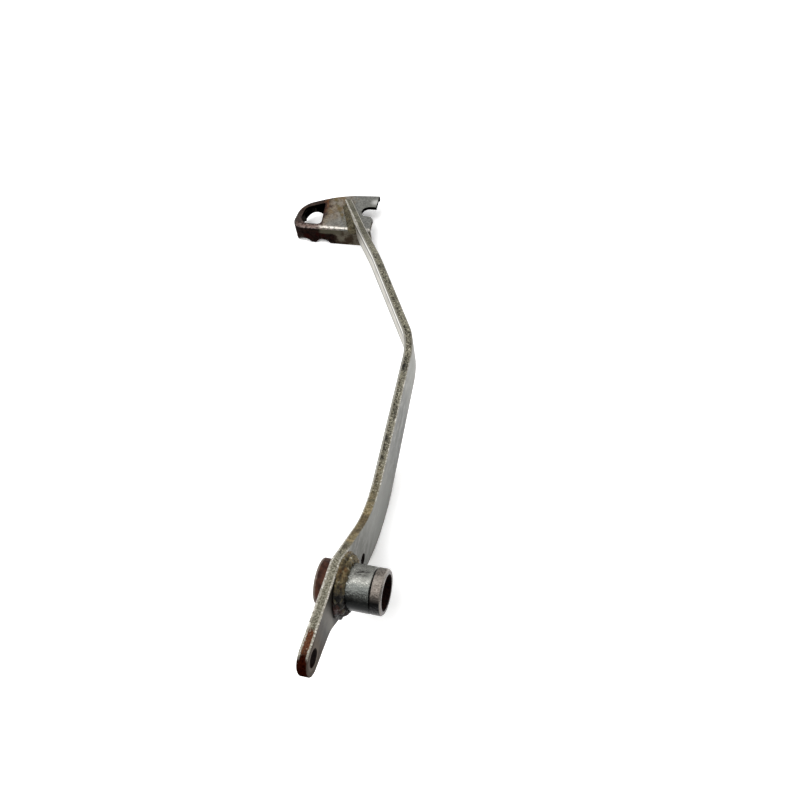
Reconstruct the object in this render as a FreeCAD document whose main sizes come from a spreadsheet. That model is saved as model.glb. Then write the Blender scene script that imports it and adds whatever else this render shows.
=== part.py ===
# Foot brake lever of a motorbike, lying upside down as it comes to rest.
# Millimetres. X runs along the pivot bore to the inboard side, Y forward, Z up.
# The origin is the middle of the hub plate on the axis of the pivot bore.
import FreeCAD
import Part
import Sketcher
import math
import os

Vector = FreeCAD.Vector
doc = FreeCAD.newDocument("brake_pedal")
sheet = doc.addObject("Spreadsheet::Sheet", "sizes")

# Driving dimensions
driving = {
    # plate of the arm
    "plate_thickness": 4.5,
    "plate_edge_round": 0.6,
    "bend_lead": 11.5,
    "bend_radius": 35.0,
    "bend_angle": 29.3,
    # rear arm with the rod hole
    "rod_hole_diameter": 7.5,
    "rod_hole_back": 35.6,
    "rod_hole_rise": 8.8,
    "rear_end_radius": 6.9,
    # hub lobe round the pivot
    "hub_corner_forward": 4.0,
    "hub_corner_rise": 13.6,
    "hub_corner_radius": 2.5,
    "throat_back": 20.0,
    "throat_drop": 2.0,
    "throat_radius": 12.0,
    "hub_foot_back": 4.0,
    "hub_foot_drop": 15.5,
    "hub_foot_radius": 18.0,
    "spring_hole_diameter": 5.6,
    "spring_hole_forward": 20.7,
    "spring_hole_drop": 16.1,
    # low elbow: where the straight stretches of its upper and lower edges would meet
    "elbow_top_forward": 42.7,
    "elbow_top_level": -11.4,
    "elbow_inner_radius": 38.0,
    "elbow_foot_forward": 48.0,
    "elbow_foot_level": -36.3,
    "elbow_outer_radius": 62.0,
    # crest at the sideways bend and the falling end
    "crest_forward": 134.0,
    "crest_level": 1.7,
    "crest_depth": 17.6,
    "crest_radius": 48.0,
    "shoulder_forward": 197.0,
    "shoulder_rise": 6.5,
    "entry_forward": 240.0,
    "entry_rise": -8.5,
    "heel_start_forward": 212.0,
    "heel_start_level": -15.3,
    "heel_radius": 40.0,
    "heel_drop": 8.2,
    "tip_forward": 276.8,
    "tip_height": 1.8,
    # pivot tube and bush
    "tube_diameter": 19.5,
    "tube_bore": 17.0,
    "tube_outboard": 5.5,
    "tube_inboard": 13.8,
    "bush_bore": 15.0,
    "bush_flange": 4.9,
    "bush_chamfer": 0.7,
    "joint_gap_depth": 0.5,
    "pivot_weld_leg": 3.4,
    # stamped toe pad
    "pad_inboard": -62.0,
    "pad_near": 249.0,
    "pad_level": -19.2,
    "pad_length": 51.4,
    "pad_width": 37.2,
    "pad_depth": 13.0,
    "pad_sheet": 2.2,
    "pad_fold": 2.4,
    "pad_open_lean": 3.0,
    "pad_taper_length": 25.6,
    "pad_shoulder_fall": 1.5,
    "pad_end_fall": 14.4,
    "pad_far_radius": 62.0,
    "pad_end_radius": 15.0,
    "pad_corner_radius": 8.0,
    # walls of the toe pad
    "far_wall_depth": 10.8,
    "far_lip_depth": 4.0,
    "far_lip_length": 12.0,
    "far_run_length": 14.0,
    "scallop_radius": 5.6,
    "scallop_depth": 3.0,
    "scallop_start": 30.7,
    "scallop_pitch": 13.2,
    "scallop_count": 2,
    "end_scallop_across": 15.0,
    # window and notch in the base of the toe pad
    "window_start": 31.0,
    "window_near": 3.2,
    "window_length": 15.6,
    "window_width": 22.4,
    "window_end_width": 15.8,
    "window_lean": 3.4,
    "window_corner": 2.6,
    "window_far_radius": 5.0,
    "window_end_radius": 7.0,
    "notch_radius": 5.0,
    "notch_depth": 7.4,
    "notch_across": 18.9,
    "notch_flare": 6.0,
    "notch_mouth_radius": 3.0,
    # weld between arm and pad
    "pad_weld_start": 1.5,
    "pad_weld_length": 27.0,
    "pad_weld_leg": 5.2,
    "pad_weld_rise": 4.2,
    "pad_weld_far_leg": 2.4,
    "pad_weld_far_rise": 1.6,
}
for row, (alias, value) in enumerate(driving.items(), start=1):
    sheet.set("A%d" % row, alias)
    sheet.set("B%d" % row, str(value))
    sheet.setAlias("B%d" % row, alias)
doc.recompute()


def size(alias):
    return float(sheet.get(alias))


def value_of(expression):
    # present value of an expression in the sheet's names
    return float(sheet.evalExpression(expression.replace("sizes.", "")))


# Helpers shared by the pieces
def new_body(label):
    body = doc.addObject("PartDesign::Body", label)
    body.Label = label
    return body


def new_sketch(body, name, plane):
    sketch = body.newObject("Sketcher::SketchObject", name)
    support = [feature for feature in body.Origin.OriginFeatures if feature.Role == plane][0]
    sketch.AttachmentSupport = [(support, "")]
    sketch.MapMode = "FlatFace"
    return sketch


def bind(sketch, constraint, name, expression):
    index = sketch.addConstraint(constraint)
    sketch.renameConstraint(index, name)
    sketch.setExpression("Constraints." + name, expression)


def polygon(sketch, corners):
    # corners: (name, expression across, expression up, starting point, expression of the rounding or None)
    count = len(corners)
    points = [Vector(*corner[3], 0) for corner in corners]
    trims = []
    for index, corner in enumerate(corners):
        to_last = (points[index - 1] - points[index]).normalize()
        to_next = (points[(index + 1) % count] - points[index]).normalize()
        radius = 0.0 if corner[4] is None else value_of(corner[4])
        trims.append(radius / math.tan(to_last.getAngle(to_next) / 2))
    lines = []
    for index, point in enumerate(points):
        following = (index + 1) % count
        along = (points[following] - point).normalize()
        line = Part.LineSegment(point + along * trims[index], points[following] - along * trims[following])
        lines.append(sketch.addGeometry(line))
    for index, (name, across, up, start, rounding) in enumerate(corners):
        arriving = lines[index - 1]
        leaving = lines[index]
        if rounding is None:
            sketch.addConstraint(Sketcher.Constraint("Coincident", arriving, 2, leaving, 1))
            mark = (leaving, 1)
        else:
            radius = value_of(rounding)
            to_last = (points[index - 1] - points[index]).normalize()
            to_next = (points[(index + 1) % count] - points[index]).normalize()
            middle = (to_last + to_next).normalize()
            centre = points[index] + middle * (radius / math.sin(to_last.getAngle(to_next) / 2))
            ends = [points[index] + to_last * trims[index], points[index] + to_next * trims[index]]
            left_turn = to_last.cross(to_next).z < 0
            first, second = ends if left_turn else ends[::-1]
            angles = [math.atan2(end.y - centre.y, end.x - centre.x) for end in (first, second)]
            around = Part.Circle(centre, Vector(0, 0, 1), radius)
            arc = sketch.addGeometry(Part.ArcOfCircle(around, angles[0], angles[1]))
            arrive_end, leave_end = (1, 2) if left_turn else (2, 1)
            sketch.addConstraint(Sketcher.Constraint("Tangent", arriving, 2, arc, arrive_end))
            sketch.addConstraint(Sketcher.Constraint("Tangent", arc, leave_end, leaving, 1))
            point = sketch.addGeometry(Part.Point(points[index]), True)
            sketch.addConstraint(Sketcher.Constraint("PointOnObject", point, 1, arriving))
            sketch.addConstraint(Sketcher.Constraint("PointOnObject", point, 1, leaving))
            bind(sketch, Sketcher.Constraint("Radius", arc, radius), name + "_radius", rounding)
            mark = (point, 1)
        bind(sketch, Sketcher.Constraint("DistanceX", -1, 1, *mark, start[0]), name + "_across", across)
        bind(sketch, Sketcher.Constraint("DistanceY", -1, 1, *mark, start[1]), name + "_up", up)


def corner(name, across, up, rounding=None):
    return (name, across, up, (value_of(across), value_of(up)), rounding)


def circle(sketch, name, across, up, diameter):
    start = (value_of(across), value_of(up))
    radius = value_of(diameter) / 2
    index = sketch.addGeometry(Part.Circle(Vector(*start, 0), Vector(0, 0, 1), radius))
    bind(sketch, Sketcher.Constraint("DistanceX", -1, 1, index, 3, start[0]), name + "_across", across)
    bind(sketch, Sketcher.Constraint("DistanceY", -1, 1, index, 3, start[1]), name + "_up", up)
    bind(sketch, Sketcher.Constraint("Diameter", index, 2 * radius), name + "_diameter", diameter)


def feature(body, kind, name, profile=None, **values):
    made = body.newObject("PartDesign::" + kind, name)
    if profile is not None:
        made.Profile = profile
    for key, value in values.items():
        if isinstance(value, str) and value.startswith("="):
            made.setExpression(key, value[1:])
        else:
            setattr(made, key, value)
    doc.recompute()
    return made


def round_edges(body, name, base, chooser, radius):
    names = []
    for index, edge in enumerate(base.Shape.Edges, start=1):
        if chooser(edge):
            names.append("Edge%d" % index)
    made = body.newObject("PartDesign::Fillet", name)
    made.Base = (base, names)
    made.setExpression("Radius", radius)
    doc.recompute()
    return made


# Lever arm: a strip bent once sideways, then cut to its side outline
arm = new_body("lever_arm")
half = size("plate_thickness") / 2
inner = size("bend_radius")
# the sideways bend starts a little before the crest of the outline
bend_start = "(sizes.crest_forward - sizes.bend_lead)"
start = value_of(bend_start)
turn = FreeCAD.Rotation(Vector(0, 0, 1), size("bend_angle"))
centre = Vector(-half - inner, start, 0)
ahead = turn.multVec(Vector(0, 1, 0))
outward = turn.multVec(Vector(1, 0, 0))
strip_back = Vector(0, -60, 0)
# the strip past the bend starts long enough for the outline to cut its tip
strip_reach = "(sizes.tip_forward - %s) / cos(sizes.bend_angle * 1deg)" % bend_start
reach = value_of(strip_reach)

plan = new_sketch(arm, "arm_plan", "XY_Plane")
sides = []
for offset, radius in ((half, inner + 2 * half), (-half, inner)):
    foot = Vector(offset, start, 0)
    bend_end = centre + outward * radius
    straight = plan.addGeometry(Part.LineSegment(strip_back + Vector(offset, 0, 0), foot))
    around = Part.Circle(centre, Vector(0, 0, 1), radius)
    arc = plan.addGeometry(Part.ArcOfCircle(around, 0, turn.Angle))
    upper = plan.addGeometry(Part.LineSegment(bend_end, bend_end + ahead * reach))
    plan.addConstraint(Sketcher.Constraint("Vertical", straight))
    plan.addConstraint(Sketcher.Constraint("Tangent", straight, 2, arc, 1))
    plan.addConstraint(Sketcher.Constraint("Tangent", arc, 2, upper, 1))
    sides.append((straight, arc, upper))
(right, outer_arc, right_upper), (left, inner_arc, left_upper) = sides
back = plan.addGeometry(Part.LineSegment(strip_back + Vector(half, 0, 0), strip_back + Vector(-half, 0, 0)))
tip_right = centre + outward * (inner + 2 * half) + ahead * reach
tip_left = centre + outward * inner + ahead * reach
tip = plan.addGeometry(Part.LineSegment(tip_right, tip_left))
plan.addConstraint(Sketcher.Constraint("Coincident", right, 1, back, 1))
plan.addConstraint(Sketcher.Constraint("Coincident", left, 1, back, 2))
plan.addConstraint(Sketcher.Constraint("Coincident", right_upper, 2, tip, 1))
plan.addConstraint(Sketcher.Constraint("Coincident", left_upper, 2, tip, 2))
plan.addConstraint(Sketcher.Constraint("Horizontal", back))
plan.addConstraint(Sketcher.Constraint("Perpendicular", tip, right_upper))
plan.addConstraint(Sketcher.Constraint("Coincident", outer_arc, 3, inner_arc, 3))
plan.addConstraint(Sketcher.Constraint("Parallel", right_upper, left_upper))
plan.addConstraint(Sketcher.Constraint("DistanceY", -1, 1, right, 1, -60))
half_plate = "sizes.plate_thickness / 2"
bind(plan, Sketcher.Constraint("DistanceX", -1, 1, right, 1, half), "side_inboard", half_plate)
bind(plan, Sketcher.Constraint("DistanceX", left, 1, -1, 1, half), "side_outboard", half_plate)
bind(plan, Sketcher.Constraint("DistanceY", -1, 1, inner_arc, 3, start), "bend_place", bend_start)
bind(plan, Sketcher.Constraint("Radius", inner_arc, inner), "bend_inside", "sizes.bend_radius")
slope = math.pi / 2 + turn.Angle
bind(plan, Sketcher.Constraint("Angle", right_upper, slope), "bend_turn", "90 + sizes.bend_angle")
bind(plan, Sketcher.Constraint("Distance", right_upper, reach), "end_length", strip_reach)
strip = feature(arm, "Pad", "arm_strip", plan, SideType="Symmetric", Length=120.0)

# Side outline, cut by taking away everything round it
rear = "-sizes.rod_hole_back - sizes.rear_end_radius"
rear_radius = "sizes.rear_end_radius - 0.5"
crest_radius = "sizes.crest_radius"
outline = new_sketch(arm, "arm_outline", "YZ_Plane")
polygon(outline, [
    corner("frame_near_foot", "-70", "-70"),
    corner("frame_far_foot", "400", "-70"),
    corner("frame_far_top", "400", "70"),
    corner("frame_near_top", "-70", "70"),
])
polygon(outline, [
    corner("rear_top", rear, "sizes.rod_hole_rise + sizes.rear_end_radius", rear_radius),
    corner("hub_corner", "sizes.hub_corner_forward", "sizes.hub_corner_rise", "sizes.hub_corner_radius"),
    corner("elbow_top", "sizes.elbow_top_forward", "sizes.elbow_top_level", "sizes.elbow_inner_radius"),
    corner("crest_top", "sizes.crest_forward", "sizes.crest_level + sizes.crest_depth / 2", crest_radius),
    corner("shoulder_top", "sizes.shoulder_forward", "sizes.shoulder_rise", crest_radius),
    corner("entry_top", "sizes.entry_forward", "sizes.entry_rise", crest_radius),
    corner("tip_top", "sizes.tip_forward", "sizes.pad_level + sizes.tip_height"),
    corner("tip_foot", "sizes.tip_forward", "sizes.pad_level"),
    corner("entry_foot", "sizes.pad_near", "sizes.pad_level"),
    corner("heel", "sizes.pad_near", "sizes.pad_level - sizes.heel_drop"),
    corner("heel_start", "sizes.heel_start_forward", "sizes.heel_start_level", "sizes.heel_radius"),
    corner("crest_foot", "sizes.crest_forward", "sizes.crest_level - sizes.crest_depth / 2", crest_radius),
    corner("elbow_foot", "sizes.elbow_foot_forward", "sizes.elbow_foot_level", "sizes.elbow_outer_radius"),
    corner("hub_foot", "-sizes.hub_foot_back", "-sizes.hub_foot_drop", "sizes.hub_foot_radius"),
    corner("throat", "-sizes.throat_back", "-sizes.throat_drop", "sizes.throat_radius"),
    corner("rear_foot", rear, "sizes.rod_hole_rise - sizes.rear_end_radius", rear_radius),
])
last = feature(arm, "Pocket", "arm_cut", outline, SideType="Symmetric", Type="ThroughAll")

# Holes through the plate: pivot tube, brake rod, return spring
holes = new_sketch(arm, "arm_holes", "YZ_Plane")
circle(holes, "pivot", "0", "0", "sizes.tube_diameter")
circle(holes, "rod", "-sizes.rod_hole_back", "sizes.rod_hole_rise", "sizes.rod_hole_diameter")
circle(holes, "spring", "sizes.spring_hole_forward", "-sizes.spring_hole_drop", "sizes.spring_hole_diameter")
last = feature(arm, "Pocket", "arm_drilling", holes, SideType="Symmetric", Type="ThroughAll")


# Worn edges along the outline on both faces of the plate
def outline_edge(edge):
    box = edge.BoundBox
    round_hole = isinstance(edge.Curve, Part.Circle) and len(edge.Vertexes) == 1
    through = box.XLength > 0.5 * size("plate_thickness") and max(box.YLength, box.ZLength) < 0.01
    bend_line = box.ZLength > 5 and max(box.XLength, box.YLength) < 0.01
    on_pad = box.YMin > size("pad_near") - 0.01 and box.ZMax < size("pad_level") + 0.01
    return not (round_hole or through or bend_line or on_pad)


last = round_edges(arm, "arm_worn_edges", last, outline_edge, "sizes.plate_edge_round")

# Pivot tube, pressed bush and the weld round the tube: turned about the X axis
def turned(label, corners):
    body = new_body(label)
    sketch = new_sketch(body, label + "_section", "XY_Plane")
    polygon(sketch, corners)
    axis = [item for item in body.Origin.OriginFeatures if item.Role == "X_Axis"][0]
    feature(body, "Revolution", label + "_turned", sketch, ReferenceAxis=(axis, [""]), Angle=360.0)
    return body


face = half_plate
outboard_end = "-" + face + " - sizes.tube_outboard"
joint = face + " + sizes.tube_inboard"
inboard_end = joint + " + sizes.bush_flange"
tube_radius = "sizes.tube_diameter / 2"
seat_radius = "sizes.tube_bore / 2"
turned("pivot_tube", [
    corner("end_inner", outboard_end, seat_radius),
    corner("joint_inner", joint, seat_radius),
    corner("joint_groove", joint, tube_radius + " - sizes.joint_gap_depth"),
    corner("joint_outer", joint + " - sizes.joint_gap_depth", tube_radius),
    corner("end_outer", outboard_end, tube_radius),
])
turned("pivot_bush", [
    corner("end_inner", outboard_end, "sizes.bush_bore / 2"),
    corner("face_inner", inboard_end, "sizes.bush_bore / 2"),
    corner("face_outer", inboard_end, tube_radius + " - sizes.bush_chamfer"),
    corner("rim", inboard_end + " - sizes.bush_chamfer", tube_radius),
    corner("flange_edge", joint + " + sizes.joint_gap_depth", tube_radius),
    corner("flange_groove", joint, tube_radius + " - sizes.joint_gap_depth"),
    corner("flange_root", joint, seat_radius),
    corner("end_outer", outboard_end, seat_radius),
])
leg = " * sizes.pivot_weld_leg"
turned("pivot_weld", [
    corner("root", face, tube_radius),
    corner("tube_toe", face + " + 1" + leg, tube_radius),
    corner("crown", face + " + 0.65" + leg, tube_radius + " + 0.8" + leg),
    corner("plate_toe", face, tube_radius + " + 1.2" + leg),
])

# Toe pad: a shallow stamped tub, open at the inboard end
pad = new_body("toe_pad")
pad.setExpression("Placement.Base.x", "sizes.pad_inboard")
pad.setExpression("Placement.Base.y", "sizes.pad_near")
pad.setExpression("Placement.Base.z", "sizes.pad_level")
footprint = new_sketch(pad, "pad_footprint", "XY_Plane")
polygon(footprint, [
    corner("open_near", "sizes.pad_open_lean", "0"),
    corner("open_far", "0", "sizes.pad_width"),
    corner("shoulder", "-sizes.pad_length + sizes.pad_taper_length",
           "sizes.pad_width - sizes.pad_shoulder_fall", "sizes.pad_far_radius"),
    corner("end_far", "-sizes.pad_length", "sizes.pad_width - sizes.pad_end_fall", "sizes.pad_end_radius"),
    corner("end_near", "-sizes.pad_length", "0", "sizes.pad_corner_radius"),
])
last = feature(pad, "Pad", "pad_block", footprint, Length="=sizes.pad_depth", Reversed=True)
open_faces = []
for index, shape_face in enumerate(last.Shape.Faces, start=1):
    box = shape_face.BoundBox
    at_foot = box.ZMax < 0.01 - size("pad_depth")
    at_open_end = box.XMin > -0.01
    if at_foot or at_open_end:
        open_faces.append("Face%d" % index)
shell = pad.newObject("PartDesign::Thickness", "pad_shell")
shell.Base = (last, open_faces)
shell.Reversed = True
shell.Join = "Intersection"
shell.setExpression("Value", "sizes.pad_sheet")
doc.recompute()


def folded_edge(edge):
    box = edge.BoundBox
    return box.ZMin > -0.01 and box.XMin < -0.01


round_edges(pad, "pad_folds", shell, folded_edge, "sizes.pad_fold")

# D-shaped window at the rounded end and half-round notch at the open end
window_end = "-sizes.window_start - sizes.window_length"
window_top = "sizes.window_near + sizes.window_width"
window_end_top = "sizes.window_near + sizes.window_end_width"
window = new_sketch(pad, "pad_window", "XY_Plane")
polygon(window, [
    corner("inboard_near", "-sizes.window_start", "sizes.window_near", "sizes.window_corner"),
    corner("inboard_far", "-sizes.window_start - sizes.window_lean", window_top,
           "0.5 * sizes.window_corner"),
    corner("end_far", window_end, window_end_top, "sizes.window_far_radius"),
    corner("end_near", window_end, "sizes.window_near", "sizes.window_end_radius"),
])
feature(pad, "Pocket", "pad_window_cut", window, Length="=2 * sizes.pad_sheet")

notch_near = "sizes.notch_across - sizes.notch_radius"
notch_far = "sizes.notch_across + sizes.notch_radius"
notch = new_sketch(pad, "pad_notch", "XY_Plane")
polygon(notch, [
    corner("mouth_near", "0", notch_near, "sizes.notch_mouth_radius"),
    corner("open_near", "sizes.notch_radius", notch_near + " - sizes.notch_flare"),
    corner("open_far", "sizes.notch_radius", notch_far),
    corner("inner_far", "-sizes.notch_depth", notch_far, "0.95 * sizes.notch_radius"),
    corner("inner_near", "-sizes.notch_depth", notch_near, "0.95 * sizes.notch_radius"),
])
feature(pad, "Pocket", "pad_notch_cut", notch, Length="=2 * sizes.pad_sheet")

# Free edges of the walls: the far wall is shallower and runs out to a short lip at the open end
below = "-sizes.pad_depth - 1"
skirt = new_sketch(pad, "pad_skirt", "YZ_Plane")
polygon(skirt, [
    corner("near_top", "sizes.pad_sheet", "-sizes.pad_depth"),
    corner("far_top", "sizes.pad_width + 1", "-sizes.far_wall_depth"),
    corner("far_foot", "sizes.pad_width + 1", below),
    corner("near_foot", "sizes.pad_sheet", below),
])
feature(pad, "Pocket", "pad_skirt_cut", skirt, SideType="Symmetric", Type="ThroughAll")


def wall_sketch(name, across):
    sketch = new_sketch(pad, name, "XZ_Plane")
    sketch.setExpression("AttachmentOffset.Base.z", "-(%s)" % across)
    return sketch


def wall_cut(name, sketch):
    # cuts one long wall only: half the width of the pad to each side of it
    return feature(pad, "Pocket", name, sketch, SideType="Symmetric", Length="=sizes.pad_width")


far_run = wall_sketch("pad_far_run", "sizes.pad_width")
polygon(far_run, [
    corner("start", "-sizes.far_lip_length - sizes.far_run_length", below),
    corner("lip", "-sizes.far_lip_length", "-sizes.far_lip_depth", "sizes.pad_fold"),
    corner("end", "1", "-sizes.far_lip_depth"),
    corner("end_foot", "1", below),
])
wall_cut("pad_far_run_cut", far_run)

# Scallops that leave teeth along the walls at the rounded end
scallop_drop = "(sizes.scallop_radius - sizes.scallop_depth)"
walls = (("near", "0", "sizes.pad_depth"), ("far", "sizes.pad_width", "sizes.far_wall_depth"))
for side, across, depth in walls:
    level = "-%s - %s" % (depth, scallop_drop)
    scallop = wall_sketch("pad_%s_scallop" % side, across)
    circle(scallop, "scallop", "-sizes.scallop_start", level, "2 * sizes.scallop_radius")
    cut = wall_cut("pad_%s_scallop_cut" % side, scallop)
    row_of_scallops = pad.newObject("PartDesign::LinearPattern", "pad_%s_scallops" % side)
    row_of_scallops.Originals = [cut]
    row_of_scallops.Direction = (scallop, ["H_Axis"])
    row_of_scallops.Reversed = True
    row_of_scallops.setExpression("Length", "sizes.scallop_pitch * (sizes.scallop_count - 1)")
    row_of_scallops.setExpression("Occurrences", "sizes.scallop_count")
    pad.Tip = row_of_scallops
    doc.recompute()

level = "-sizes.pad_depth - " + scallop_drop
end_scallop = new_sketch(pad, "pad_end_scallop", "YZ_Plane")
circle(end_scallop, "scallop", "sizes.end_scallop_across", level, "2 * sizes.scallop_radius")
feature(pad, "Pocket", "pad_end_scallop_cut", end_scallop, Type="ThroughAll")

# Weld along the outboard side of the arm on the base of the pad, tapering with the arm
weld = new_body("pad_weld")
seam = "(sizes.bend_radius + sizes.plate_thickness / 2)"
vertex_forward = "(%s + %s * tan(sizes.bend_angle * 1deg / 2))" % (bend_start, seam)
weld_forward = "(sizes.pad_near + sizes.pad_weld_start)"
weld_line = "-(%s - %s) * tan(sizes.bend_angle * 1deg)" % (weld_forward, vertex_forward)
half_slant = half_plate + " / cos(sizes.bend_angle * 1deg)"
weld.setExpression("Placement.Base.x", weld_line + " - " + half_slant)
weld.setExpression("Placement.Base.y", weld_forward)
weld.setExpression("Placement.Base.z", "sizes.pad_level")
weld.setExpression("Placement.Rotation.Axis.z", "1")
weld.setExpression("Placement.Rotation.Angle", "sizes.bend_angle")
sections = []
for name, forward, leg, rise in (
    ("weld_near", "0", "sizes.pad_weld_leg", "sizes.pad_weld_rise"),
    ("weld_far", "sizes.pad_weld_length", "sizes.pad_weld_far_leg", "sizes.pad_weld_far_rise"),
):
    section = new_sketch(weld, name, "XZ_Plane")
    section.setExpression("AttachmentOffset.Base.z", "-(%s)" % forward)
    polygon(section, [
        corner("root", "0", "0"),
        corner("arm_toe", "0", rise),
        corner("crown", "-0.55 * " + leg, "0.6 * " + rise),
        corner("pad_toe", "-" + leg, "0"),
    ])
    sections.append(section)
doc.recompute()
feature(weld, "AdditiveLoft", "pad_weld_bead", sections[0], Sections=[sections[1]], Ruled=True)

doc.recompute()
faults = [item.Label for item in doc.Objects if "Invalid" in item.State or "Error" in item.State]
if faults:
    raise RuntimeError("objects in error: " + ", ".join(faults))
os.makedirs("parts", exist_ok=True)
for body in doc.Objects:
    if not body.isDerivedFrom("PartDesign::Body"):
        continue
    if body.Shape.isNull() or not body.Shape.isValid():
        raise RuntimeError("no valid shape: " + body.Label)
    print(body.Label, round(body.Shape.Volume), "mm3", len(body.Shape.Solids), "solid", body.Shape.BoundBox)
    body.Shape.exportStep(os.path.join("parts", body.Label + ".step"))
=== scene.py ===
import math
import bmesh
import bpy
from mathutils import Matrix, Vector, noise


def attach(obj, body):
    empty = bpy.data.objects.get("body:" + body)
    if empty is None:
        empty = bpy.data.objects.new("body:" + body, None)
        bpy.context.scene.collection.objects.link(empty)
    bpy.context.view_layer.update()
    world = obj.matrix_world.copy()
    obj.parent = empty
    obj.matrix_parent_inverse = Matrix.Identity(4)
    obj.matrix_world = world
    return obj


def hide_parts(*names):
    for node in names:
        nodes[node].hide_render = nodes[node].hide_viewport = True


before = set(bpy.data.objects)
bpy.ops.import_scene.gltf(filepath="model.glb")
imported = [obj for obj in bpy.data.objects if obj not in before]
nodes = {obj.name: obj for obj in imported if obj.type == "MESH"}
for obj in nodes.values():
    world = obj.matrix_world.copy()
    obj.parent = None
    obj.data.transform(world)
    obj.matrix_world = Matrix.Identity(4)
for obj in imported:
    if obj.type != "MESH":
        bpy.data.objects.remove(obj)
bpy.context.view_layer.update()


# Lever arm
# One steel plate, cut to shape, bent once and worn: grey flat faces, rough cut edges with dried dirt,
# bright lines where the corners have rubbed, which are also painted highlights, a tan coat in the elbow and
# rust towards the rod end; painted light on the outboard face past the bend and painted shade by the weld.
HALF_PLATE = 0.00225
BEND_ANGLE = math.radians(29.3)
BEND_RADIUS = 0.03725
BEND_START = 0.1225
ROD_HOLE_CENTRE = (0.0, -0.0356, 0.0088)
SPRING_HOLE_ALONG = (0.0178, 0.0236)
SPRING_HOLE_LEVELS = (-0.0190, -0.0132)
CORNER_WEAR = 0.0003
SHARP_ANGLE = math.radians(40)
FACET_GAP = 0.00001


def tone(red, green, blue):
    # a seen colour of 0 to 255 as the linear colour of a shader
    return tuple((value / 255) ** 2.2 for value in (red, green, blue)) + (1.0,)


def put(tree, kind, inputs=None, **settings):
    # a new node with its settings, and with values or links at its inputs
    made = tree.nodes.new("ShaderNode" + kind)
    for name, value in settings.items():
        setattr(made, name, value)
    for socket, value in (inputs or {}).items():
        if isinstance(value, bpy.types.NodeSocket):
            tree.links.new(value, made.inputs[socket])
        else:
            made.inputs[socket].default_value = value
    return made


def calc(tree, operation, first, second=0.0, third=0.0):
    return put(tree, "Math", {0: first, 1: second, 2: third}, operation=operation).outputs[0]


def rise(tree, value, low, high, top=1.0):
    # a mask that climbs from 0 at low to top at high; with low above high it falls
    made = put(tree, "MapRange", {0: value, 1: low, 2: high, 4: top}, interpolation_type="SMOOTHSTEP")
    return made.outputs[0]


def both(tree, *masks):
    result = masks[0]
    for mask in masks[1:]:
        result = calc(tree, "MULTIPLY", result, mask)
    return result


def either(tree, first, second):
    return calc(tree, "MAXIMUM", first, second)


def rest_of(tree, mask):
    return calc(tree, "SUBTRACT", 1.0, mask)


def band(tree, value, low, high, soft):
    # 1 between low and high with soft borders
    return both(tree, rise(tree, value, low - soft, low + soft), rise(tree, value, high + soft, high - soft))


def over(tree, mask, under, upper):
    made = put(tree, "Mix", {0: mask, 6: under, 7: upper}, data_type="RGBA")
    return made.outputs[2]


def blend(tree, mask, under, upper):
    made = put(tree, "Mix", {0: mask, 2: under, 3: upper}, data_type="FLOAT")
    return made.outputs[0]


def grain(tree, where, size, detail=4.0, rough=0.55, turn=(0.0, 0.0, 0.0), shift=0.0):
    # noise whose lumps have the given sizes in metres along the turned axes
    sizes = size if isinstance(size, tuple) else (size, size, size)
    place = put(tree, "Mapping", {0: where, 1: (shift, shift, shift), 2: turn, 3: sizes},
                vector_type="TEXTURE").outputs[0]
    made = put(tree, "TexNoise", {"Vector": place, "Scale": 1.0, "Detail": detail, "Roughness": rough})
    return made.outputs["Fac"]


def wavy(tree, value, waves, amount):
    # a coordinate that a noise pushes to and fro, for an uneven border
    return calc(tree, "MULTIPLY_ADD", calc(tree, "SUBTRACT", waves, 0.5), amount, value)


def from_pivot(tree, y, z):
    # distance from the pivot axis
    aside = put(tree, "CombineXYZ", {1: y, 2: z}).outputs[0]
    return put(tree, "VectorMath", {0: aside}, operation="LENGTH").outputs["Value"]


def new_finish(name):
    made = bpy.data.materials.new(name)
    made.use_nodes = True
    tree = made.node_tree
    where = put(tree, "TexCoord").outputs["Object"]
    return made, tree, where, put(tree, "SeparateXYZ", {0: where}).outputs


def set_finish(tree, colour, rough, metal, shine, height, depth):
    shader = tree.nodes["Principled BSDF"]
    bump = put(tree, "Bump", {"Strength": 1.0, "Distance": depth, "Height": height})
    for name, value in (("Base Color", colour), ("Roughness", rough), ("Metallic", metal),
                        ("Specular IOR Level", shine), ("Normal", bump.outputs[0])):
        if isinstance(value, bpy.types.NodeSocket):
            tree.links.new(value, shader.inputs[name])
        else:
            shader.inputs[name].default_value = value


def dress(node_name, made):
    mesh = nodes[node_name].data
    mesh.materials.clear()
    mesh.materials.append(made)


def wear_corners(node_name):
    # joins the loose facets and rounds the sharp corners by a little, as use does
    joined = nodes[node_name].modifiers.new("joined_facets", "WELD")
    joined.merge_threshold = FACET_GAP
    rounded = nodes[node_name].modifiers.new("worn_corners", "BEVEL")
    rounded.width = CORNER_WEAR
    rounded.segments = 2
    rounded.limit_method = "ANGLE"
    rounded.angle_limit = SHARP_ANGLE
    rounded.harden_normals = True


arm_finish, tree, where, (x, y, z) = new_finish("worn_plate")

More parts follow.
